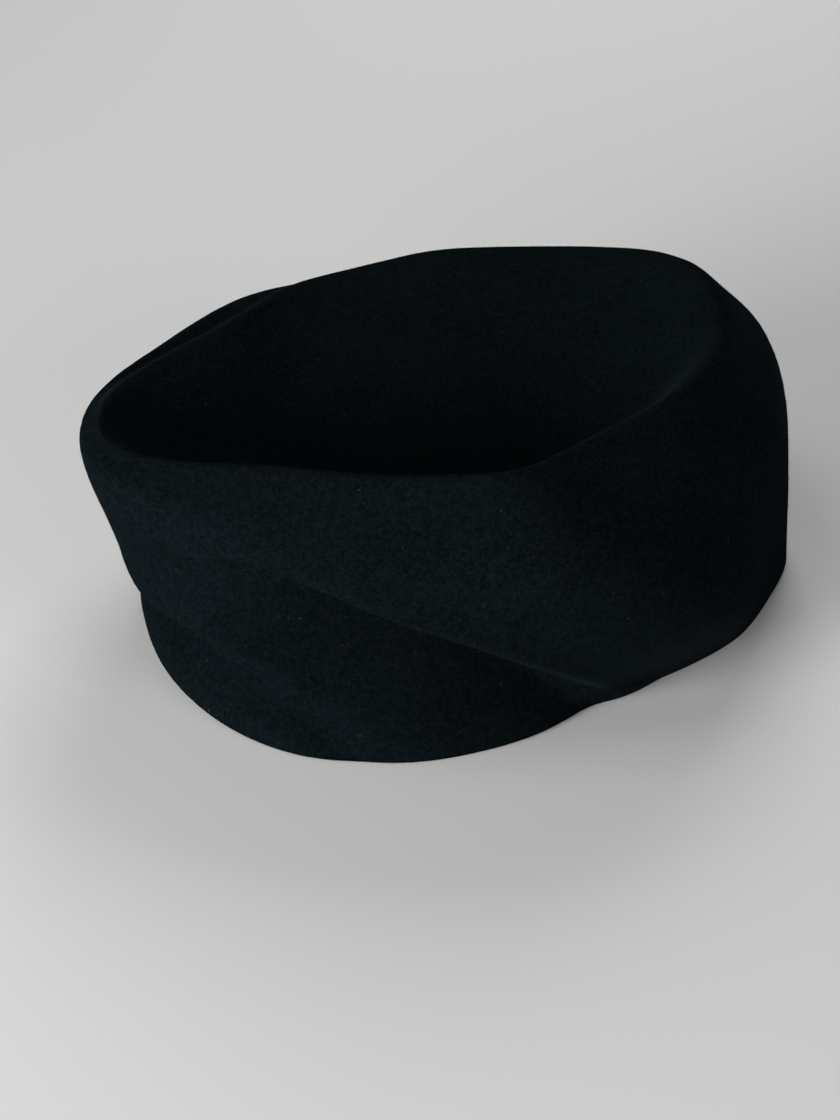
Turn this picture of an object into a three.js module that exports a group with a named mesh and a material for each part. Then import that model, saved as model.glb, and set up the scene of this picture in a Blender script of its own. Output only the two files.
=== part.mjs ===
// Sculpted pillbox hat: one shell of blocked felt, open below, with a long dent in the crown.
// The wall draws out to a point at the left, a soft ridge runs down its front from the right end of the
// dent, and two tucks fan out from below the point.
// Millimetres, +Z up. The hat rests on its rim at Z = 0, centred on its bounding box in X and Y.
// The point is on the -X side and the long side of the dent faces -Y.
// Azimuths are degrees about +Z from the middle of the head opening: 0 is +X, 90 is +Y, 180 is -X.
import * as THREE from "three";

// Thickness of the felt.
const FELT = 2.2;

// Head opening at the rim, an oval: half lengths, and the azimuth of its long half.
const HEAD = { long: 98, short: 82, turn: 29 };

// Upright sections of the crown, one row at every SECTION_STEP degrees.
// rimIn: how far the rim is pressed in from the oval.   belly: radius halfway up the wall.
// shoulder, shoulderZ: the edge of the crown.           gutter: depth of the hollow inside the shoulder.
// crest, crestZ, crestRound: the edge of the dent.
const SECTION_STEP = 20;
const SECTION_COLUMNS = [
  "azimuth", "rimIn", "belly", "shoulder", "shoulderZ", "gutter", "crest", "crestZ", "crestRound",
];
const SECTIONS = [
  [0, 0, 91, 87, 63, 0, 66, 82, 16],
  [20, 0, 95, 91, 64, 0, 71, 82, 16],
  [40, 0, 96, 92, 63, 0, 77, 79, 14],
  [60, 0, 92, 86, 61, 0, 73, 75, 12],
  [80, 0, 87, 83, 59, 0, 65, 74, 10],
  [100, 0, 84, 81, 58, 0, 64, 73, 9],
  [120, 0, 83, 82, 58, 1, 65, 71, 7],
  [140, 0, 86, 92, 60, 5, 70, 70, 4],
  [160, 0, 91, 97, 60, 7, 76, 68, 4],
  [180, 0, 96, 106, 60, 2, 96, 65, 6],
  [200, 1, 101, 109, 60, 0, 99, 66, 6],
  [220, 0, 97, 98, 60, 0, 80, 72, 5],
  [240, -2, 91, 89, 57, 0, 70, 76, 5],
  [260, 1, 84, 83, 55, 0, 66, 78, 5],
  [280, 6, 81, 80, 56, 0, 63, 79, 5],
  [300, 12, 78, 77, 59, 0, 57, 80, 7],
  [320, 14, 79, 79, 61, 0, 58, 82, 9],
  [340, 9, 85, 84, 62, 0, 61, 83, 14],
];

// Share of the way from the shoulder to the crest at which the hollow is deepest.
const GUTTER_AT = 0.6;

// Line along the bottom of the dent, from its left end to its right.
const DENT_FLOOR = [
  { x: -84, y: -18, z: 54 },
  { x: -67, y: -29, z: 44 },
  { x: -40, y: -37, z: 39 },
  { x: -12, y: -40, z: 38 },
  { x: 9, y: -38, z: 41 },
  { x: 27, y: -32, z: 52 },
];
// Azimuths at which the two ends of that line are reached.
const DENT_ENDS = { from: 190, to: 335 };
// How evenly the back sections are spread: 1 is evenly, less opens them out toward the left end.
const BACK_SPREAD = 0.85;
// How much the sections gather toward the right end of the dent's bottom, as degrees of a sine.
const GATHER = 70;
// Half width of the flat of the dent's bottom, and the length of the bend from it up the dent's sides.
const DENT_FLAT = 9;
const DENT_BEND = 16;

// Soft ridge down the front of the wall, one row at every RIDGE_STEP of height.
// rise: how far it stands out.   before, after: degrees over which it dies away on either side.
const RIDGE_STEP = 25;
const RIDGE_COLUMNS = ["height", "azimuth", "rise", "before", "after"];
const RIDGE = [
  [0, 333, 6, 46, 26],
  [25, 319, 11, 46, 30],
  [50, 299, 8, 38, 38],
  [75, 279, 2, 18, 16],
  [100, 270, 2, 18, 12],
];
// Length past the crest over which the ridge dies away inside the dent.
const RIDGE_FADE = 8;

// Tucks in the wall, one row at every `step` degrees from the azimuth `from`.
// lip: height of the overhanging edge.   depth: how far the felt goes in under it.
// drop: height of the undercut.          reach: distance below the lip at which the wall is back out.
const TUCK_COLUMNS = ["lip", "depth", "drop", "reach"];
const TUCKS = [
  {
    name: "front tuck",
    from: 180,
    step: 15,
    rows: [
      [48, 0, 8, 18],
      [44, 0, 8, 18],
      [46, 1, 8, 18],
      [52, 8, 8, 26],
      [51, 17, 9, 50],
      [43, 20, 10, 44],
      [34, 19, 10, 35],
      [21, 12, 8, 22],
      [8, 0, 5, 12],
      [5, 0, 5, 12],
    ],
  },
  {
    name: "side tuck",
    from: 120,
    step: 15,
    rows: [
      [36, 0, 6, 16],
      [36, 0, 6, 16],
      [34, 3, 6, 18],
      [31, 5, 6, 18],
      [28, 6, 5, 18],
      [24, 8, 5, 18],
      [22, 9, 5, 18],
      [24, 9, 5, 20],
      [14, 4, 5, 12],
      [6, 0, 5, 10],
      [4, 0, 5, 10],
    ],
  },
];
// Edge of a tuck: how far it stands out as a share of the depth, where and over what height, and its radius.
const LIP = { bulge: 0.1, above: 3, over: 5, round: 1.4 };

// Steps round the hat, and rows up the outer face between the lines named.
const AROUND = 84;
const OUTER_ROWS = { rimToSide: 8, sideToFront: 11, frontToShoulder: 4, shoulderToCrest: 6, crestToFloor: 10 };
// The rows below the front tuck's edge crowd toward the edges above them: 0 is evenly spaced, 1 the most.
const CROWDING = 0.5;
// Above the front tuck's edge, every so many rows of the outer face has one on the inner face.
const INNER_EVERY = 2;
// Rounds of evening out, along the sections, of the directions the inner face is moved in by.
const EVENING = 3;
// Points along a section before its rows are picked, for each straight or rounded stretch.
const DENSE = 40;

const RAD = Math.PI / 180;

function clamp(value, low, high) {
  return Math.min(Math.max(value, low), high);
}

function easeIn(share) {
  const s = clamp(share, 0, 1);
  return s * s * (3 - 2 * s);
}

// Neighbour of a row, `shift` rows away: round the ring, or held at the ends.
function neighbour(rows, index, shift, wraps) {
  const count = rows.length;
  const at = index + shift;
  return rows[wraps ? ((at % count) + count) % count : clamp(at, 0, count - 1)];
}

// Control rows of the smooth curve that passes through the given rows.
function controls(rows, wraps) {
  let held = rows.map((row) => [...row]);
  for (let round = 0; round < 16; round += 1) {
    held = held.map((row, i) =>
      row.map((value, c) => {
        const before = neighbour(held, i, -1, wraps)[c];
        const after = neighbour(held, i, 1, wraps)[c];
        return value + rows[i][c] - (before + 4 * value + after) / 6;
      }),
    );
  }
  return held;
}

// Row of values at a fractional row number, on a smooth curve through the control rows.
function blend(held, at, wraps) {
  const base = Math.floor(at);
  const t = at - base;
  const weights = [
    (1 - t) ** 3 / 6,
    (3 * t ** 3 - 6 * t * t + 4) / 6,
    (-3 * t ** 3 + 3 * t * t + 3 * t + 1) / 6,
    t ** 3 / 6,
  ];
  return held[0].map((_, c) =>
    weights.reduce((sum, weight, k) => sum + weight * neighbour(held, base, k - 1, wraps)[c], 0),
  );
}

function named(columns, values) {
  return Object.fromEntries(columns.map((column, c) => [column, values[c]]));
}

const SECTION_CURVE = controls(SECTIONS, true);
const FLOOR_CURVE = controls(DENT_FLOOR.map((p) => [p.x, p.y, p.z]), false);
const RIDGE_CURVE = controls(RIDGE, false);
const TUCK_CURVES = TUCKS.map((tuck) => controls(tuck.rows, false));

// Degrees from one azimuth round to another, 0 to 360.
function degreesPast(azimuth, start) {
  return (((azimuth - start) % 360) + 360) % 360;
}

function headRadius(azimuth) {
  const turn = (azimuth - HEAD.turn) * RAD;
  return (HEAD.long * HEAD.short) / Math.hypot(HEAD.short * Math.cos(turn), HEAD.long * Math.sin(turn));
}

// Point on the bottom of the dent at a share of the way from its left end, and the way the bottom
// runs there, as a rise for each millimetre of its plan.
function dentBottom(share) {
  const along = (Math.sin(GATHER * RAD * share) / Math.sin(GATHER * RAD)) * (DENT_FLOOR.length - 1);
  const [before, point, after] = [-0.1, 0, 0.1].map(
    (shift) => new THREE.Vector3(...blend(FLOOR_CURVE, along + shift, false)),
  );
  const run = after.sub(before);
  return { point, run: run.divideScalar(Math.hypot(run.x, run.y)) };
}

// A tuck at an azimuth. Between its two ends, round the back, it has no depth and its lip line runs on.
function tuckAt(index, azimuth) {
  const { from, step, rows } = TUCKS[index];
  const past = degreesPast(azimuth, from);
  const length = (rows.length - 1) * step;
  if (past <= length) {
    return named(TUCK_COLUMNS, blend(TUCK_CURVES[index], past / step, false));
  }
  const share = easeIn((past - length) / (360 - length));
  const [first, last] = [rows[0], rows[rows.length - 1]];
  return named(TUCK_COLUMNS, last.map((value, c) => value + (first[c] - value) * share));
}

// Distance a tuck draws the wall in at a height.
function tuckedIn({ lip, depth, drop, reach }, height) {
  const below = lip - height;
  const entry = clamp((below + Math.hypot(below, LIP.round)) / 2 / drop, 0, 1);
  const under = 1 - (1 - entry) ** 3;
  const back = easeIn((below - drop) / Math.max(reach - drop, 1));
  const bulge = LIP.bulge * Math.exp(-(((below + LIP.above) / LIP.over) ** 2));
  return depth * ((0.65 * under + 0.35 * easeIn(under)) * (1 - back) - bulge);
}

// Distance the front ridge stands out at an azimuth and a height.
function ridgeOut(azimuth, height) {
  const ridge = named(RIDGE_COLUMNS, blend(RIDGE_CURVE, clamp(height, 0, 99) / RIDGE_STEP, false));
  const past = degreesPast(azimuth, ridge.azimuth - 180) - 180;
  const width = past < 0 ? ridge.before : ridge.after;
  return ridge.rise * clamp(1 - (past / width) ** 2, 0, 1) ** 3;
}

// Corner points of a section, rim first, before they are rounded.
function sectionCorners({ azimuth, share }) {
  const size = named(SECTION_COLUMNS, blend(SECTION_CURVE, azimuth / SECTION_STEP, true));
  const out = new THREE.Vector3(Math.cos(azimuth * RAD), Math.sin(azimuth * RAD), 0);
  const at = (radius, height) => out.clone().multiplyScalar(radius).setZ(height);
  const rim = at(headRadius(azimuth) - size.rimIn, 0);
  const belly = at(size.belly, size.shoulderZ / 2);
  const shoulder = at(size.shoulder, size.shoulderZ);
  const crest = at(size.crest, size.crestZ);
  const gutter = shoulder.clone().lerp(crest, GUTTER_AT);
  gutter.z -= size.gutter;
  const { point: floor, run } = dentBottom(share);
  const across = Math.hypot(floor.x - crest.x, floor.y - crest.y);
  const foot = crest.clone().lerp(floor, 1 - Math.min(0.45, DENT_FLAT / across));
  foot.z = floor.z + run.z * ((foot.x - floor.x) * run.x + (foot.y - floor.y) * run.y);
  return { rim, belly, shoulder, gutter, crest, foot, floor, crestRound: size.crestRound };
}

// Points round a corner b between a and c, leaving and joining the legs at the given shares of them.
function roundedCorner(a, b, c, back, ahead) {
  const bend = new THREE.QuadraticBezierCurve3(b.clone().lerp(a, back), b, b.clone().lerp(c, ahead));
  return bend.getPoints(DENSE);
}

// Smooth line of a section from the rim over the crest to the bottom of the dent.
function sectionLine(place) {
  const { rim, belly, shoulder, gutter, crest, foot, floor, crestRound } = sectionCorners(place);
  const crestBack = Math.min(crestRound / crest.distanceTo(gutter), 0.55);
  const crestOn = Math.min(crestRound / crest.distanceTo(foot), 0.5);
  const footBack = Math.min(DENT_BEND / crest.distanceTo(foot), 0.5);
  const bends = [
    roundedCorner(rim, belly, shoulder, 0.6, 0.5),
    roundedCorner(belly, shoulder, gutter, 0.45, 0.45),
    roundedCorner(shoulder, gutter, crest, 0.3, 0.4),
    roundedCorner(gutter, crest, foot, crestBack, crestOn),
    roundedCorner(crest, foot, floor, footBack, 1),
  ];
  const points = [rim];
  const middles = [];
  for (const bend of bends) {
    const last = points[points.length - 1];
    for (let i = 1; i < DENSE; i += 1) {
      points.push(last.clone().lerp(bend[0], i / DENSE));
    }
    middles.push(points.length + DENSE / 2);
    points.push(...bend);
  }
  return { points, shoulder: middles[1], crest: middles[3] };
}

// Lengths along a line of points, from its start.
function lengthsAlong(points) {
  const lengths = [0];
  for (let i = 1; i < points.length; i += 1) {
    lengths.push(lengths[i - 1] + points[i].distanceTo(points[i - 1]));
  }
  return lengths;
}

// Value read off a table of pairs (keys rising) at a key.
function readOff(keys, values, key) {
  const above = clamp(keys.findIndex((k) => k > key), 1, keys.length - 1);
  const i = key >= keys[keys.length - 1] ? keys.length - 1 : above;
  const share = clamp((key - keys[i - 1]) / (keys[i] - keys[i - 1] || 1), 0, 1);
  return values[i - 1] + (values[i] - values[i - 1]) * share;
}

// Rows of a section on the outer face, folded and spaced evenly between the lines it crosses.
function outerSection(place) {
  const { azimuth } = place;
  const line = sectionLine(place);
  const lengths = lengthsAlong(line.points);
  const tucks = TUCKS.map((_, index) => tuckAt(index, azimuth));
  const out = new THREE.Vector3(Math.cos(azimuth * RAD), Math.sin(azimuth * RAD), 0);
  const folded = line.points.map((point, i) => {
    const fade = clamp(1 - (lengths[i] - lengths[line.crest]) / RIDGE_FADE, 0, 1);
    const inward = tucks.reduce((sum, tuck) => sum + tuckedIn(tuck, point.z), 0);
    return point.clone().addScaledVector(out, (ridgeOut(azimuth, point.z) - inward) * fade);
  });
  const along = lengthsAlong(folded);
  const wall = folded.slice(0, line.shoulder + 1).map((point) => point.z);
  const shoulder = along[line.shoulder];
  const [frontLip, sideLip] = tucks.map((tuck) => readOff(wall, along, tuck.lip));
  const side = clamp(sideLip, 0.06 * shoulder, 0.6 * shoulder);
  const front = clamp(frontLip, side + 0.08 * shoulder, 0.92 * shoulder);
  const stops = [0, side, front, shoulder, along[line.crest], along[along.length - 1]];
  const places = [0];
  Object.values(OUTER_ROWS).forEach((count, k) => {
    for (let i = 1; i <= count; i += 1) {
      const even = i / count;
      const share = k < 2 ? even + CROWDING * (Math.sin((Math.PI / 2) * even) - even) : even;
      places.push(stops[k] + (stops[k + 1] - stops[k]) * share);
    }
  });
  const [xs, ys, zs] = ["x", "y", "z"].map((axis) => folded.map((point) => point[axis]));
  return places.map(
    (at) => new THREE.Vector3(readOff(along, xs, at), readOff(along, ys, at), readOff(along, zs, at)),
  );
}

// Azimuth of each section and its share of the way along the dent's bottom. Section i of the front and
// section AROUND - i of the back end on the same point.
function sectionPlaces() {
  const half = AROUND / 2;
  const front = DENT_ENDS.to - DENT_ENDS.from;
  return Array.from({ length: AROUND }, (_, i) => {
    const share = Math.min(i, AROUND - i) / half;
    const turn = i <= half ? front * share : 360 - (360 - front) * share ** BACK_SPREAD;
    return { azimuth: DENT_ENDS.from + turn, share };
  });
}

// Triangles of a face whose rows run from the rim to the bottom of the dent, where its two halves join.
// `first` is the number of its first point, and `flip` turns it to face the other way.
function faceTriangles(rows, first, flip) {
  const vertex = (row, i) => {
    const at = i % AROUND;
    return first + row * AROUND + (row === rows - 1 ? Math.min(at, AROUND - at) : at);
  };
  const triangles = [];
  for (let row = 0; row < rows - 1; row += 1) {
    for (let i = 0; i < AROUND; i += 1) {
      const [a, b, c, d] = [vertex(row, i), vertex(row, i + 1), vertex(row + 1, i + 1), vertex(row + 1, i)];
      triangles.push(...(flip ? [[a, c, b], [a, d, c]] : [[a, b, c], [a, c, d]]));
    }
  }
  return triangles;
}

function geometryOf(points, triangles) {
  const geometry = new THREE.BufferGeometry().setFromPoints(points);
  geometry.setIndex(triangles.flat());
  geometry.computeVertexNormals();
  return geometry;
}

// Rows of points on the outer face, from the rim up.
function outerRows() {
  const sections = sectionPlaces().map(outerSection);
  return sections[0].map((_, row) => sections.map((section) => section[row]));
}

// Directions out of the face at each point of its rows, evened out along the sections so that the inner
// face doesn't cross itself under a fold.
function outwardRows(rows) {
  const last = rows.length - 1;
  const normals = geometryOf(rows.flat(), faceTriangles(rows.length, 0, false)).getAttribute("normal");
  let outward = rows.map((row, r) =>
    row.map((_, i) => {
      const merged = r === last ? Math.min(i, AROUND - i) : i;
      return new THREE.Vector3().fromBufferAttribute(normals, r * AROUND + merged);
    }),
  );
  for (let round = 0; round < EVENING; round += 1) {
    outward = outward.map((row, r) =>
      row.map((normal, i) => {
        const sum = normal.clone().multiplyScalar(2);
        if (r > 0 && r < last) {
          sum.add(outward[r - 1][i]).add(outward[r + 1][i]);
        }
        return sum.normalize();
      }),
    );
  }
  outward[0].forEach((normal) => normal.setZ(0).normalize());
  return outward;
}

// Rows of points on the inner face: the outer ones moved in by the thickness of the felt, above the rim.
function innerRows(outer) {
  const outward = outwardRows(outer);
  const lip = OUTER_ROWS.rimToSide + OUTER_ROWS.sideToFront;
  const last = outer.length - 1;
  const kept = outer.map((_, row) => row).filter((row) => row < lip || (last - row) % INNER_EVERY === 0);
  return kept.map((row) =>
    outer[row].map((point, i) => {
      const inside = point.clone().addScaledVector(outward[row][i], -FELT);
      return inside.setZ(Math.max(inside.z, point.z / 2));
    }),
  );
}

// The closed shell: outer face, inner face and the cut edge between them at the rim.
function shellGeometry() {
  const outer = outerRows();
  const inner = innerRows(outer);
  const first = outer.length * AROUND;
  const triangles = [...faceTriangles(outer.length, 0, false), ...faceTriangles(inner.length, first, true)];
  for (let i = 0; i < AROUND; i += 1) {
    const next = (i + 1) % AROUND;
    triangles.push([i, first + i, first + next], [i, first + next, next]);
  }
  const geometry = geometryOf([...outer.flat(), ...inner.flat()], triangles);
  geometry.computeBoundingBox();
  const { min, max } = geometry.boundingBox;
  return geometry.translate(-(min.x + max.x) / 2, -(min.y + max.y) / 2, -min.z);
}

const blackFelt = new THREE.MeshStandardMaterial({ color: 0x17191b, roughness: 0.95, metalness: 0 });
const crown = new THREE.Mesh(shellGeometry(), blackFelt);
crown.name = "crown";

const pillboxHat = new THREE.Group();
pillboxHat.name = "pillbox_hat";
pillboxHat.add(crown);

export default pillboxHat;
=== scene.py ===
# Sculpted pillbox hat of black blocked felt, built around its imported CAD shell.
# The shell's tables and functions are those of the part's source, in millimetres, worked out here on a
# finer grid. What is added: the felt's own unevenness, a rounded cut edge, loose fibres and the finish.
import math
import bpy
import numpy as np
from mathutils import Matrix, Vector, noise


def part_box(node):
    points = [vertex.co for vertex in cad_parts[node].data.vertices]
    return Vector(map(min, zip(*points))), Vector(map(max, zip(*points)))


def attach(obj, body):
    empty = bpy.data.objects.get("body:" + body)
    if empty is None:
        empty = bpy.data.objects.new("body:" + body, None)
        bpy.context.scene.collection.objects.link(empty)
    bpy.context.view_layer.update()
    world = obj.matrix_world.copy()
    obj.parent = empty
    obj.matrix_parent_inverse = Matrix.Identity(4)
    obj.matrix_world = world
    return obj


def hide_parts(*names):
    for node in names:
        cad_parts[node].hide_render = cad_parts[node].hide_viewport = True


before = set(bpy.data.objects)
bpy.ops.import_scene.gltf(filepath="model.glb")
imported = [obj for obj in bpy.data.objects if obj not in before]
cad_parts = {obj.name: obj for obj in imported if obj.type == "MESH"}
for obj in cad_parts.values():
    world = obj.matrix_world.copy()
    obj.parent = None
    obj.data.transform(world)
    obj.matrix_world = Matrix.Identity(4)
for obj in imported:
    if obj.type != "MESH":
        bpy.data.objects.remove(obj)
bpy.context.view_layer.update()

MM = 0.001

# ---------------------------------------------------------------- the hat's sizes, as in the part's source

FELT = 2.2
HEAD = {"long": 98, "short": 82, "turn": 29}

# azimuth, rimIn, belly, shoulder, shoulderZ, gutter, crest, crestZ, crestRound
SECTION_STEP = 20
SECTIONS = [
    [0, 0, 91, 87, 63, 0, 66, 82, 16],
    [20, 0, 95, 91, 64, 0, 71, 82, 16],
    [40, 0, 96, 92, 63, 0, 77, 79, 14],
    [60, 0, 92, 86, 61, 0, 73, 75, 12],
    [80, 0, 87, 83, 59, 0, 65, 74, 10],
    [100, 0, 84, 81, 58, 0, 64, 73, 9],
    [120, 0, 83, 82, 58, 1, 65, 71, 7],
    [140, 0, 86, 92, 60, 5, 70, 70, 4],
    [160, 0, 91, 97, 60, 7, 76, 68, 4],
    [180, 0, 96, 106, 60, 2, 96, 65, 6],
    [200, 1, 101, 109, 60, 0, 99, 66, 6],
    [220, 0, 97, 98, 60, 0, 80, 72, 5],
    [240, -2, 91, 89, 57, 0, 70, 76, 5],
    [260, 1, 84, 83, 55, 0, 66, 78, 5],
    [280, 6, 81, 80, 56, 0, 63, 79, 5],
    [300, 12, 78, 77, 59, 0, 57, 80, 7],
    [320, 14, 79, 79, 61, 0, 58, 82, 9],
    [340, 9, 85, 84, 62, 0, 61, 83, 14],
]
GUTTER_AT = 0.6
# Rounding of the lower corners, as shares of the stretches before and after each, and its limits higher up.
CORNERS = {"belly": (0.6, 0.5), "shoulder": (0.45, 0.45), "gutter": (0.3, 0.4)}
CREST_LIMIT = {"before": 0.55, "after": 0.5}
FOOT_LIMIT = 0.5

# Line along the bottom of the dent: x, y, z.
DENT_FLOOR = [
    [-84, -18, 54],
    [-67, -29, 44],
    [-40, -37, 39],
    [-12, -40, 38],
    [9, -38, 41],
    [27, -32, 52],
]
DENT_ENDS = {"from": 190, "to": 335}
BACK_SPREAD = 0.85
GATHER = 70
# Flat width beside the dent's bottom, its largest share of the way to the crest, and the bend above it.
DENT_FLAT = 9
FLAT_LIMIT = 0.45
DENT_BEND = 16

# Soft ridge down the front: height, azimuth, rise, before, after
RIDGE_STEP = 25
RIDGE = [
    [0, 333, 6, 46, 26],
    [25, 319, 11, 46, 30],
    [50, 299, 8, 38, 38],
    [75, 279, 2, 18, 16],
    [100, 270, 2, 18, 12],
]
RIDGE_FADE = 8

# Tucks, one row at every `step` degrees from the azimuth `from`: lip, depth, drop, reach
TUCKS = [
    {
        "from": 180,
        "step": 15,
        "rows": [
            [48, 0, 8, 18],
            [44, 0, 8, 18],
            [46, 1, 8, 18],
            [52, 8, 8, 26],
            [51, 17, 9, 50],
            [43, 20, 10, 44],
            [34, 19, 10, 35],
            [21, 12, 8, 22],
            [8, 0, 5, 12],
            [5, 0, 5, 12],
        ],
    },
    {
        "from": 120,
        "step": 15,
        "rows": [
            [36, 0, 6, 16],
            [36, 0, 6, 16],
            [34, 3, 6, 18],
            [31, 5, 6, 18],
            [28, 6, 5, 18],
            [24, 8, 5, 18],
            [22, 9, 5, 18],
            [24, 9, 5, 20],
            [14, 4, 5, 12],
            [6, 0, 5, 10],
            [4, 0, 5, 10],
        ],
    },
]
LIP = {"bulge": 0.1, "above": 3, "over": 5, "round": 1.4}
# A tuck's way in, as a mix of a steep curve and a soft one.
ENTRY = {"steep": 0.65, "soft": 0.35}
# Places of the rows of points at the two lips, as shares of the way up to the shoulder.
SIDE_ROWS = {"lowest": 0.06, "highest": 0.6}
FRONT_ROWS = {"over_side": 0.08, "highest": 0.92}

# Steps round the hat, and rows up the outer face between the lines that the sections cross.
AROUND = 336
OUTER_ROWS = {
    "rim_to_side": 24,
    "side_to_front": 33,
    "front_to_shoulder": 12,
    "shoulder_to_crest": 20,
    "crest_to_floor": 32,
}
CROWDING = 0.5
INNER_EVERY = 2
EVENING = 40
DENSE = 40
# Rounds after which the control rows of a curve have settled, and the step that tells which way one runs.
SETTLING = 16
RUN_STEP = 0.1

RAD = math.pi / 180

# ---------------------------------------------------------------- sizes of what is added here, in millimetres

# Rounding of the cut edge at the rim, and the number of steps round each of its corners.
EDGE = {"round": 0.6, "steps": 4}
# Unevenness of the blocked felt: height and size of the swells, in millimetres.
SWELLS = [{"height": 0.35, "size": 38}, {"height": 0.12, "size": 11}]
# Height over which the swells come in above the rim, which stays flat.
SWELL_FROM_RIM = 6
# Loose fibres that stand out of the felt: their number, shortest and longest length, thickness and how far
# they may lean over, as a multiple of how far they stand up. None stand lower than `above` the rim.
NAP = {"count": 46000, "seed": 5, "short": 0.3, "long": 0.9, "thick": 0.05, "lean": 2.5, "above": 1.5}


# ---------------------------------------------------------------- the shell, worked out as in the source

def ease(share):
    s = np.clip(share, 0, 1)
    return s * s * (3 - 2 * s)


def padded_rows(rows, wraps):
    """Rows with one more before and two more after: round the ring, or held at the ends."""
    return np.pad(rows, ((1, 2), (0, 0)), mode="wrap" if wraps else "edge")


def controls(rows, wraps):
    """Control rows of the smooth curve that passes through the given rows."""
    rows = np.array(rows, float)
    held = rows.copy()
    for _ in range(SETTLING):
        wide = padded_rows(held, wraps)
        held = held + rows - (wide[:-3] + 4 * held + wide[2:-1]) / 6
    return held


def blend(held, at, wraps):
    """Rows of values at fractional row numbers, on a smooth curve through the control rows."""
    at = np.asarray(at, float)
    base = np.floor(at).astype(int)
    t = at - base
    weights = [
        (1 - t) ** 3 / 6,
        (3 * t ** 3 - 6 * t * t + 4) / 6,
        (-3 * t ** 3 + 3 * t * t + 3 * t + 1) / 6,
        t ** 3 / 6,
    ]
    total = 0
    for k, weight in enumerate(weights):
        row = base + k - 1
        row = row % len(held) if wraps else np.clip(row, 0, len(held) - 1)
        total = total + weight[..., None] * held[row]
    return total


SECTION_CURVE = controls(SECTIONS, True)
FLOOR_CURVE = controls(DENT_FLOOR, False)
RIDGE_CURVE = controls(RIDGE, False)
TUCK_CURVES = [controls(tuck["rows"], False) for tuck in TUCKS]


def head_radius(azimuth):
    turn = (azimuth - HEAD["turn"]) * RAD
    reach = math.hypot(HEAD["short"] * math.cos(turn), HEAD["long"] * math.sin(turn))
    return HEAD["long"] * HEAD["short"] / reach


def dent_bottom(share):
    """Point on the dent's bottom, and the way the bottom runs, as a rise for each millimetre of plan."""
    along = math.sin(GATHER * RAD * share) / math.sin(GATHER * RAD) * (len(DENT_FLOOR) - 1)
    before, point, after = blend(FLOOR_CURVE, [along - RUN_STEP, along, along + RUN_STEP], False)
    run = after - before
    return point, run / math.hypot(run[0], run[1])


def tuck_at(index, azimuth):
    """Lip, depth, drop and reach of a tuck at an azimuth. Between its ends it has no depth."""
    tuck = TUCKS[index]
    past = (azimuth - tuck["from"]) % 360
    length = (len(tuck["rows"]) - 1) * tuck["step"]
    if past <= length:
        return blend(TUCK_CURVES[index], past / tuck["step"], False)
    first, last = np.array(tuck["rows"][0], float), np.array(tuck["rows"][-1], float)
    return last + (first - last) * ease((past - length) / (360 - length))


def tucked_in(tuck, height):
    """Distance a tuck draws the wall in at each height."""
    lip, depth, drop, reach = tuck
    below = lip - height
    entry = np.clip((below + np.hypot(below, LIP["round"])) / 2 / drop, 0, 1)
    under = 1 - (1 - entry) ** 3
    back = ease((below - drop) / max(reach - drop, 1))
    bulge = LIP["bulge"] * np.exp(-(((below + LIP["above"]) / LIP["over"]) ** 2))
    return depth * ((ENTRY["steep"] * under + ENTRY["soft"] * ease(under)) * (1 - back) - bulge)


def ridge_out(azimuth, height):
    """Distance the front ridge stands out at an azimuth and each height."""
    _, middle, rise, before, after = blend(RIDGE_CURVE, np.clip(height, 0, 99) / RIDGE_STEP, False).T
    past = (azimuth - middle + 180) % 360 - 180
    width = np.where(past < 0, before, after)
    return rise * np.clip(1 - (past / width) ** 2, 0, 1) ** 3


def rounded_corner(a, b, c, back, ahead):
    """Points round a corner b between a and c."""
    start, end = b + (a - b) * back, b + (c - b) * ahead
    t = np.linspace(0, 1, DENSE + 1)[:, None]
    return (1 - t) ** 2 * start + 2 * t * (1 - t) * b + t * t * end


def section_line(azimuth, share):
    """Smooth line of a section from the rim over the crest to the bottom of the dent."""
    row = blend(SECTION_CURVE, azimuth / SECTION_STEP, True)
    _, rim_in, belly_r, shoulder_r, shoulder_z, gutter_in, crest_r, crest_z, crest_round = row
    out = np.array([math.cos(azimuth * RAD), math.sin(azimuth * RAD), 0])
    up = np.array([0, 0, 1.0])
    rim = out * (head_radius(azimuth) - rim_in)
    belly = out * belly_r + up * shoulder_z / 2
    shoulder = out * shoulder_r + up * shoulder_z
    crest = out * crest_r + up * crest_z
    gutter = shoulder + (crest - shoulder) * GUTTER_AT - up * gutter_in
    floor, run = dent_bottom(share)
    across = math.hypot(floor[0] - crest[0], floor[1] - crest[1])
    foot = crest + (floor - crest) * (1 - min(FLAT_LIMIT, DENT_FLAT / across))
    foot[2] = floor[2] + run[2] * float((foot - floor)[:2] @ run[:2])
    to_gutter, to_foot = np.linalg.norm(crest - gutter), np.linalg.norm(crest - foot)
    before_crest = min(crest_round / to_gutter, CREST_LIMIT["before"])
    after_crest = min(crest_round / to_foot, CREST_LIMIT["after"])
    before_foot = min(DENT_BEND / to_foot, FOOT_LIMIT)
    bends = [
        rounded_corner(rim, belly, shoulder, *CORNERS["belly"]),
        rounded_corner(belly, shoulder, gutter, *CORNERS["shoulder"]),
        rounded_corner(shoulder, gutter, crest, *CORNERS["gutter"]),
        rounded_corner(gutter, crest, foot, before_crest, after_crest),
        rounded_corner(crest, foot, floor, before_foot, 1),
    ]
    points, middles = [rim], []
    straight = (np.arange(1, DENSE) / DENSE)[:, None]
    for bend in bends:
        points.extend(points[-1] + (bend[0] - points[-1]) * straight)
        middles.append(len(points) + DENSE // 2)
        points.extend(bend)
    return np.array(points), middles[1], middles[3], out


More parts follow.
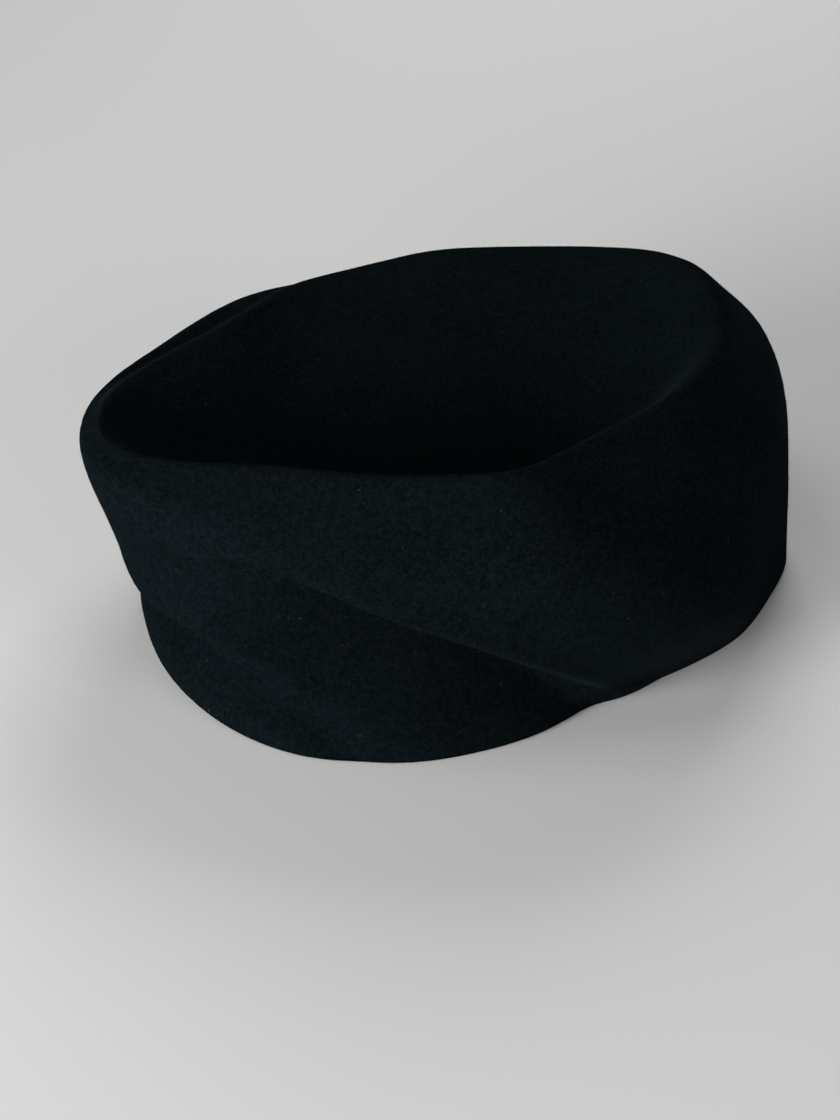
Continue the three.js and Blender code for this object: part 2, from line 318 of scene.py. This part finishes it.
def lengths_along(points):
    return np.concatenate([[0], np.cumsum(np.linalg.norm(np.diff(points, axis=0), axis=1))])


def height_reached(heights, lengths, height):
    """Length along the wall at which it first gets above a height."""
    above = np.flatnonzero(heights > height)
    i = min(max(above[0], 1), len(heights) - 1) if len(above) else len(heights) - 1
    share = np.clip((height - heights[i - 1]) / ((heights[i] - heights[i - 1]) or 1), 0, 1)
    return lengths[i - 1] + (lengths[i] - lengths[i - 1]) * share


def outer_section(azimuth, share):
    """Rows of a section on the outer face, folded and spaced evenly between the lines it crosses."""
    line, shoulder_at, crest_at, out = section_line(azimuth, share)
    lengths = lengths_along(line)
    tucks = [tuck_at(index, azimuth) for index in range(len(TUCKS))]
    fade = np.clip(1 - (lengths - lengths[crest_at]) / RIDGE_FADE, 0, 1)
    push = ridge_out(azimuth, line[:, 2]) - sum(tucked_in(tuck, line[:, 2]) for tuck in tucks)
    folded = line + out * (push * fade)[:, None]
    along = lengths_along(folded)
    wall = folded[: shoulder_at + 1, 2]
    shoulder = along[shoulder_at]
    front_lip, side_lip = [height_reached(wall, along, tuck[0]) for tuck in tucks]
    side = np.clip(side_lip, SIDE_ROWS["lowest"] * shoulder, SIDE_ROWS["highest"] * shoulder)
    front = np.clip(front_lip, side + FRONT_ROWS["over_side"] * shoulder, FRONT_ROWS["highest"] * shoulder)
    stops = [0, side, front, shoulder, along[crest_at], along[-1]]
    places = [np.zeros(1)]
    for k, count in enumerate(OUTER_ROWS.values()):
        even = np.arange(1, count + 1) / count
        if k < 2:
            even = even + CROWDING * (np.sin(math.pi / 2 * even) - even)
        places.append(stops[k] + (stops[k + 1] - stops[k]) * even)
    at = np.concatenate(places)
    return np.stack([np.interp(at, along, folded[:, axis]) for axis in range(3)], axis=-1)


def outer_face():
    """Points of the outer face, as rows from the rim up by steps round the hat, centred in X and Y."""
    half = AROUND // 2
    front = DENT_ENDS["to"] - DENT_ENDS["from"]
    sections = []
    for i in range(AROUND):
        share = min(i, AROUND - i) / half
        turn = front * share if i <= half else 360 - (360 - front) * share ** BACK_SPREAD
        sections.append(outer_section(DENT_ENDS["from"] + turn, share))
    face = np.array(sections).transpose(1, 0, 2)
    middle = (face.min(axis=(0, 1)) + face.max(axis=(0, 1))) / 2
    return face - np.array([middle[0], middle[1], 0])


# ---------------------------------------------------------------- the finished surface

def merged(i):
    """Number along the dent's bottom, where the front half of a row and the back half are one line."""
    return np.minimum(i, AROUND - i)


def face_quads(numbers):
    """Four corner numbers of each cell between neighbouring rows."""
    lower, upper = numbers[:-1], numbers[1:]
    corners = [lower, np.roll(lower, -1, axis=1), np.roll(upper, -1, axis=1), upper]
    return np.stack(corners, axis=-1).reshape(-1, 4)


def numbered(rows, first=0):
    """Vertex numbers of the rows of a face."""
    numbers = first + np.arange(rows * AROUND).reshape(rows, AROUND)
    numbers[-1] = first + (rows - 1) * AROUND + merged(np.arange(AROUND))
    return numbers


def unit(vectors):
    return vectors / np.maximum(np.linalg.norm(vectors, axis=-1, keepdims=True), 1e-9)


def outward(face):
    """Directions out of a face at each of its points."""
    quads = face_quads(numbered(len(face)))
    points = face.reshape(-1, 3)
    across = np.cross(points[quads[:, 2]] - points[quads[:, 0]], points[quads[:, 3]] - points[quads[:, 1]])
    total = np.zeros_like(points)
    for corner in range(4):
        np.add.at(total, quads[:, corner], across)
    total = total.reshape(face.shape)
    total[-1] = total[-1][merged(np.arange(AROUND))]
    return unit(total)


def with_swells(face):
    """The face with the felt's own unevenness, which comes in above the flat rim."""
    normals = outward(face)
    rise = np.zeros(face.shape[:2])
    for swell in SWELLS:
        scaled = (face / swell["size"]).reshape(-1, 3)
        heights = [noise.noise(Vector(point)) for point in scaled]
        rise += swell["height"] * np.array(heights).reshape(rise.shape)
    rise *= ease(face[..., 2] / SWELL_FROM_RIM)
    return face + normals * rise[..., None]


def inward(face):
    """Directions from the outer face to the inner one, evened out along the sections."""
    normals = outward(face)
    for _ in range(EVENING):
        even = 2 * normals
        even[1:-1] += normals[:-2] + normals[2:]
        normals = unit(even)
    normals[0, :, 2] = 0
    return -unit(normals)


def rim_rows(outside, inside):
    """Rows under the cut edge, from its outer side to its inner one, with both corners rounded."""
    across = unit(inside - outside)
    corner = np.linspace(0, math.pi / 2, EDGE["steps"] + 1)[:, None, None]
    radius = EDGE["round"]
    drop = np.array([0, 0, radius])
    from_outside = outside + across * radius * (1 - np.cos(corner)) + drop * (1 - np.sin(corner))
    from_inside = inside - across * radius * (1 - np.cos(corner)) + drop * (1 - np.sin(corner))
    return from_outside, from_inside


def new_mesh(name, points, faces):
    """A mesh from points in millimetres."""
    mesh = bpy.data.meshes.new(name)
    mesh.from_pydata((points * MM).tolist(), [], faces)
    mesh.validate()
    return mesh


def shell_mesh(outer):
    """The whole shell: inner face, rounded cut edge and outer face, as one closed mesh."""
    outer = outer.copy()
    lift = np.array([0, 0, EDGE["round"]])
    inner = outer + inward(outer) * FELT
    inner[..., 2] = np.maximum(inner[..., 2], outer[..., 2] / 2)
    kept = [row for row in range(len(inner)) if (len(inner) - 1 - row) % INNER_EVERY == 0]
    inner = inner[kept]
    inner[0, :, 2] = 0
    from_outside, from_inside = rim_rows(outer[0], inner[0])
    outer[0] += lift
    inner[0] += lift
    edge = np.concatenate([from_outside[1:], from_inside[:0:-1]])
    points = np.concatenate([outer.reshape(-1, 3), inner.reshape(-1, 3), edge.reshape(-1, 3)])
    outer_numbers = numbered(len(outer))
    inner_numbers = numbered(len(inner), outer.shape[0] * AROUND)
    edge_first = (len(outer) + len(inner)) * AROUND
    edge_numbers = edge_first + np.arange(len(edge) * AROUND).reshape(len(edge), AROUND)
    hoop = np.concatenate([inner_numbers[:1], edge_numbers[::-1], outer_numbers[:1]])
    quads = np.concatenate([face_quads(outer_numbers), face_quads(inner_numbers)[:, ::-1], face_quads(hoop)])
    return new_mesh("felt_crown", points, [list(dict.fromkeys(quad)) for quad in quads.tolist()])


def nap_mesh(outer):
    """Loose fibres scattered evenly over the outer face, each a closed spike with three sides."""
    random = np.random.default_rng(NAP["seed"])
    count = NAP["count"]
    quads = face_quads(numbered(len(outer)))
    points, normals = outer.reshape(-1, 3), outward(outer).reshape(-1, 3)
    corners = points[quads]
    area = np.linalg.norm(np.cross(corners[:, 2] - corners[:, 0], corners[:, 3] - corners[:, 1]), axis=1)
    area[corners[:, :, 2].min(axis=1) < NAP["above"]] = 0
    cells = quads[random.choice(len(quads), count, p=area / area.sum())]
    u, v = random.random((2, count))
    shares = np.stack([(1 - u) * (1 - v), u * (1 - v), u * v, (1 - u) * v], axis=-1)[..., None]
    root = (points[cells] * shares).sum(axis=1)
    normal = unit((normals[cells] * shares).sum(axis=1))
    side = unit(np.cross(normal, random.normal(size=(count, 3))))
    other = np.cross(normal, side)
    lean = NAP["lean"] * random.random((count, 1))
    length = random.uniform(NAP["short"], NAP["long"], (count, 1))
    foot = root - normal * NAP["thick"]
    turns = [2 * math.pi / 3 * k for k in range(3)]
    ring = [foot + (side * math.cos(t) + other * math.sin(t)) * NAP["thick"] / 2 for t in turns]
    spikes = np.stack([*ring, root + unit(normal + side * lean) * length], axis=1)
    sides = np.array([[0, 2, 1], [0, 1, 3], [1, 2, 3], [2, 0, 3]])
    faces = (np.arange(count)[:, None, None] * 4 + sides).reshape(-1, 3)
    return new_mesh("felt_nap", spikes.reshape(-1, 3), faces.tolist())


def add_piece(name, mesh, material):
    """An object of the scene with one material."""
    piece = bpy.data.objects.new(name, mesh)
    bpy.context.scene.collection.objects.link(piece)
    piece.data.materials.append(material)
    return piece


# ---------------------------------------------------------------- materials

# The felt's darkest colour, and the layers over it: size in millimetres, detail and roughness of a noise, the
# range of that noise over which the layer comes in, how far it covers what is under it, and its colour.
FELT_COLOUR = (0.0018, 0.0029, 0.0035, 1)
FELT_LAYERS = {
    "patches": (14, 3, 0.5, 0.35, 0.65, 1, (0.0023, 0.0037, 0.0045, 1)),
    "tufts": (1.6, 2, 0.6, 0.42, 0.66, 0.55, (0.0045, 0.0071, 0.0085, 1)),
    "grain": (0.75, 3, 0.7, 0.49, 0.72, 0.8, (0.0062, 0.0096, 0.0114, 1)),
    "specks": (1.4, 0, 0.5, 0.84, 0.88, 0.6, (0.020, 0.024, 0.026, 1)),
}
FELT_SHEEN = {"weight": 0.014, "roughness": 0.32, "tint": (0.62, 0.88, 1.0, 1)}
# Change of the roughness: size in millimetres of a noise, its range, and the roughness at the ends of that.
FELT_ROUGHNESS = {"size": 3, "low": 0.3, "high": 0.7, "least": 0.86, "most": 0.98}
# Fine bumps: height and size in millimetres, and the detail and roughness of the noise.
FELT_BUMPS = {"height": 0.15, "size": 0.6, "detail": 4, "roughness": 0.7}
FIBRE_COLOURS = {"usual": (0.0090, 0.0128, 0.0148, 1), "pale": (0.035, 0.040, 0.044, 1)}
# Where the pale fibres are: size in millimetres of a noise, and the range over which they come in.
PALE_FIBRES = {"size": 1.5, "low": 0.80, "high": 0.86}

# Glow of the floor far from the hat: distances in metres over which it comes in, and its strength.
FLOOR_GLOW = {"from": 0.75, "to": 1.5, "strength": 0.45}
# White of the lamps and of that glow.
LAMP_WHITE = (0.98, 0.99, 1.0)


def new_material(name):
    """A material, its tree and its shader."""
    material = bpy.data.materials.new(name)
    material.use_nodes = True
    tree = material.node_tree
    shader = next(node for node in tree.nodes if node.type == "BSDF_PRINCIPLED")
    return material, tree, shader


def add_node(tree, kind, settings=None, **inputs):
    """A node with settings, and with values for the inputs named, where _ stands for a space."""
    node = tree.nodes.new(kind)
    for name, value in (settings or {}).items():
        setattr(node, name, value)
    for name, value in inputs.items():
        node.inputs[name.replace("_", " ")].default_value = value
    return node


def noise_mm(tree, coords, size, detail=2.0, roughness=0.5):
    """A noise whose swells are about `size` millimetres across."""
    node = add_node(tree, "ShaderNodeTexNoise", Scale=1 / (size * MM), Detail=detail, Roughness=roughness)
    tree.links.new(coords.outputs["Object"], node.inputs["Vector"])
    return node.outputs[0]


def stretched(tree, value, low, high, to_low, to_high):
    """A value mapped from one range to another, and held at its ends."""
    node = add_node(tree, "ShaderNodeMapRange")
    node.clamp = True
    tree.links.new(value, node.inputs["Value"])
    for name, number in (("From Min", low), ("From Max", high), ("To Min", to_low), ("To Max", to_high)):
        node.inputs[name].default_value = number
    return node.outputs[0]


def mixed(tree, share, first, second):
    """A colour between two others, which are colours or sockets."""
    node = add_node(tree, "ShaderNodeMix", {"data_type": "RGBA"})
    tree.links.new(share, node.inputs[0])
    for socket, value in ((node.inputs[6], first), (node.inputs[7], second)):
        if isinstance(value, tuple):
            socket.default_value = value
        else:
            tree.links.new(value, socket)
    return node.outputs[2]


def felt_material():
    """Black fur felt: slightly blue-green, mottled, with a fine pale grain, a few specks and some sheen."""
    material, tree, shader = new_material("black_fur_felt")
    coords = add_node(tree, "ShaderNodeTexCoord")
    colour = FELT_COLOUR
    for size, detail, roughness, low, high, amount, tint in FELT_LAYERS.values():
        share = stretched(tree, noise_mm(tree, coords, size, detail, roughness), low, high, 0, amount)
        colour = mixed(tree, share, colour, tint)
    tree.links.new(colour, shader.inputs["Base Color"])
    swells = noise_mm(tree, coords, FELT_ROUGHNESS["size"])
    ends = [FELT_ROUGHNESS[end] for end in ("low", "high", "least", "most")]
    tree.links.new(stretched(tree, swells, *ends), shader.inputs["Roughness"])
    shader.inputs["Specular IOR Level"].default_value = 0
    shader.inputs["Sheen Weight"].default_value = FELT_SHEEN["weight"]
    shader.inputs["Sheen Roughness"].default_value = FELT_SHEEN["roughness"]
    shader.inputs["Sheen Tint"].default_value = FELT_SHEEN["tint"]
    bump = add_node(tree, "ShaderNodeBump", Strength=1.0, Distance=FELT_BUMPS["height"] * MM)
    bumps = noise_mm(tree, coords, FELT_BUMPS["size"], FELT_BUMPS["detail"], FELT_BUMPS["roughness"])
    tree.links.new(bumps, bump.inputs["Height"])
    tree.links.new(bump.outputs[0], shader.inputs["Normal"])
    return material


def nap_material():
    """Fibres of the felt's own black, with a few paler ones among them."""
    material, tree, shader = new_material("felt_fibres")
    coords = add_node(tree, "ShaderNodeTexCoord")
    swells = noise_mm(tree, coords, PALE_FIBRES["size"], 0)
    pale = stretched(tree, swells, PALE_FIBRES["low"], PALE_FIBRES["high"], 0, 1)
    colour = mixed(tree, pale, FIBRE_COLOURS["usual"], FIBRE_COLOURS["pale"])
    tree.links.new(colour, shader.inputs["Base Color"])
    shader.inputs["Roughness"].default_value = 0.95
    shader.inputs["Specular IOR Level"].default_value = 0
    return material


def floor_material():
    """Pale floor, which glows softly far from the hat, where the lamps reach it less and less."""
    material, tree, shader = new_material("pale_floor")
    shader.inputs["Base Color"].default_value = (0.80, 0.80, 0.78, 1)
    shader.inputs["Roughness"].default_value = 0.9
    coords = add_node(tree, "ShaderNodeTexCoord")
    away = add_node(tree, "ShaderNodeVectorMath", {"operation": "LENGTH"})
    tree.links.new(coords.outputs["Object"], away.inputs[0])
    near, far = FLOOR_GLOW["from"], FLOOR_GLOW["to"]
    glow = stretched(tree, away.outputs["Value"], near, far, 0, FLOOR_GLOW["strength"])
    tree.links.new(glow, shader.inputs["Emission Strength"])
    shader.inputs["Emission Color"].default_value = (*LAMP_WHITE, 1)
    return material


# ---------------------------------------------------------------- the hat

felt_surface = with_swells(outer_face())
shell = add_piece("felt_crown", shell_mesh(felt_surface), felt_material())
shell.data.polygons.foreach_set("use_smooth", [True] * len(shell.data.polygons))
nap = add_piece("felt_nap", nap_mesh(felt_surface), nap_material())
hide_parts("crown")
for piece in (shell, nap):
    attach(piece, "root")


# ---------------------------------------------------------------- floor, light and camera

low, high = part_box("crown")
base = Vector(((low.x + high.x) / 2, (low.y + high.y) / 2, low.z))

# Viewing angle and framing.
VIEW = {"azimuth": 270, "elevation": 36, "distance": 0.55, "lens": 59.4, "sensor": 36}
LOOK_AT = base + Vector((-0.0091, 0.0038, 0))

# Size of the floor, and how far under the rim it lies, in metres.
FLOOR = {"size": 8, "under": 0.0002}

bpy.ops.mesh.primitive_plane_add(size=FLOOR["size"], location=base - Vector((0, 0, FLOOR["under"])))
floor = bpy.context.object
floor.name = "floor"
floor.data.materials.append(floor_material())


def toward(azimuth, elevation):
    """Direction from the hat to an azimuth and an elevation in degrees."""
    a, e = azimuth * RAD, elevation * RAD
    return Vector((math.cos(a) * math.cos(e), math.sin(a) * math.cos(e), math.sin(e)))


def add_area_light(name, azimuth, elevation, distance, size, power):
    """A square lamp that faces the hat."""
    data = bpy.data.lights.new(name, "AREA")
    data.size = size
    data.energy = power
    data.color = LAMP_WHITE
    light = bpy.data.objects.new(name, data)
    direction = toward(azimuth, elevation)
    light.location = base + direction * distance
    light.rotation_euler = direction.to_track_quat("Z", "Y").to_euler()
    bpy.context.scene.collection.objects.link(light)


# Name, azimuth, elevation, distance, size and power.
LIGHTS = [
    ("key", 215, 8, 1.1, 0.5, 18.6),
    ("front", 240, 9, 1.1, 0.5, 5.3),
    ("right", 322, 22, 1.1, 0.5, 2.9),
    ("top_left", 190, 65, 1.1, 0.5, 1.7),
    ("back", 80, 42, 1.2, 0.6, 5.5),
]
for light in LIGHTS:
    add_area_light(*light)

# Sky: strength at the horizon and above, and the steepness of the directions between which it fades.
SKY = {"horizon": 0.62, "above": 0.02, "low": 0.05, "high": 0.2}

world = bpy.data.worlds.new("studio")
bpy.context.scene.world = world
world.use_nodes = True
tree = world.node_tree
sky = tree.nodes["Background"]
sky.inputs["Color"].default_value = (0.80, 0.81, 0.82, 1)
direction = add_node(tree, "ShaderNodeTexCoord")
parts = add_node(tree, "ShaderNodeSeparateXYZ")
tree.links.new(direction.outputs["Generated"], parts.inputs[0])
steepness = add_node(tree, "ShaderNodeMath", {"operation": "ABSOLUTE"})
tree.links.new(parts.outputs["Z"], steepness.inputs[0])
strength = stretched(tree, steepness.outputs[0], SKY["low"], SKY["high"], SKY["horizon"], SKY["above"])
tree.links.new(strength, sky.inputs["Strength"])

camera_data = bpy.data.cameras.new("camera")
camera_data.lens = VIEW["lens"]
camera_data.sensor_width = VIEW["sensor"]
camera_data.clip_start = 0.01
camera = bpy.data.objects.new("camera", camera_data)
line_of_sight = toward(VIEW["azimuth"], VIEW["elevation"])
camera.location = LOOK_AT + line_of_sight * VIEW["distance"]
camera.rotation_euler = line_of_sight.to_track_quat("Z", "Y").to_euler()
bpy.context.scene.collection.objects.link(camera)
bpy.context.scene.camera = camera
bpy.context.scene.view_settings.view_transform = "Standard"
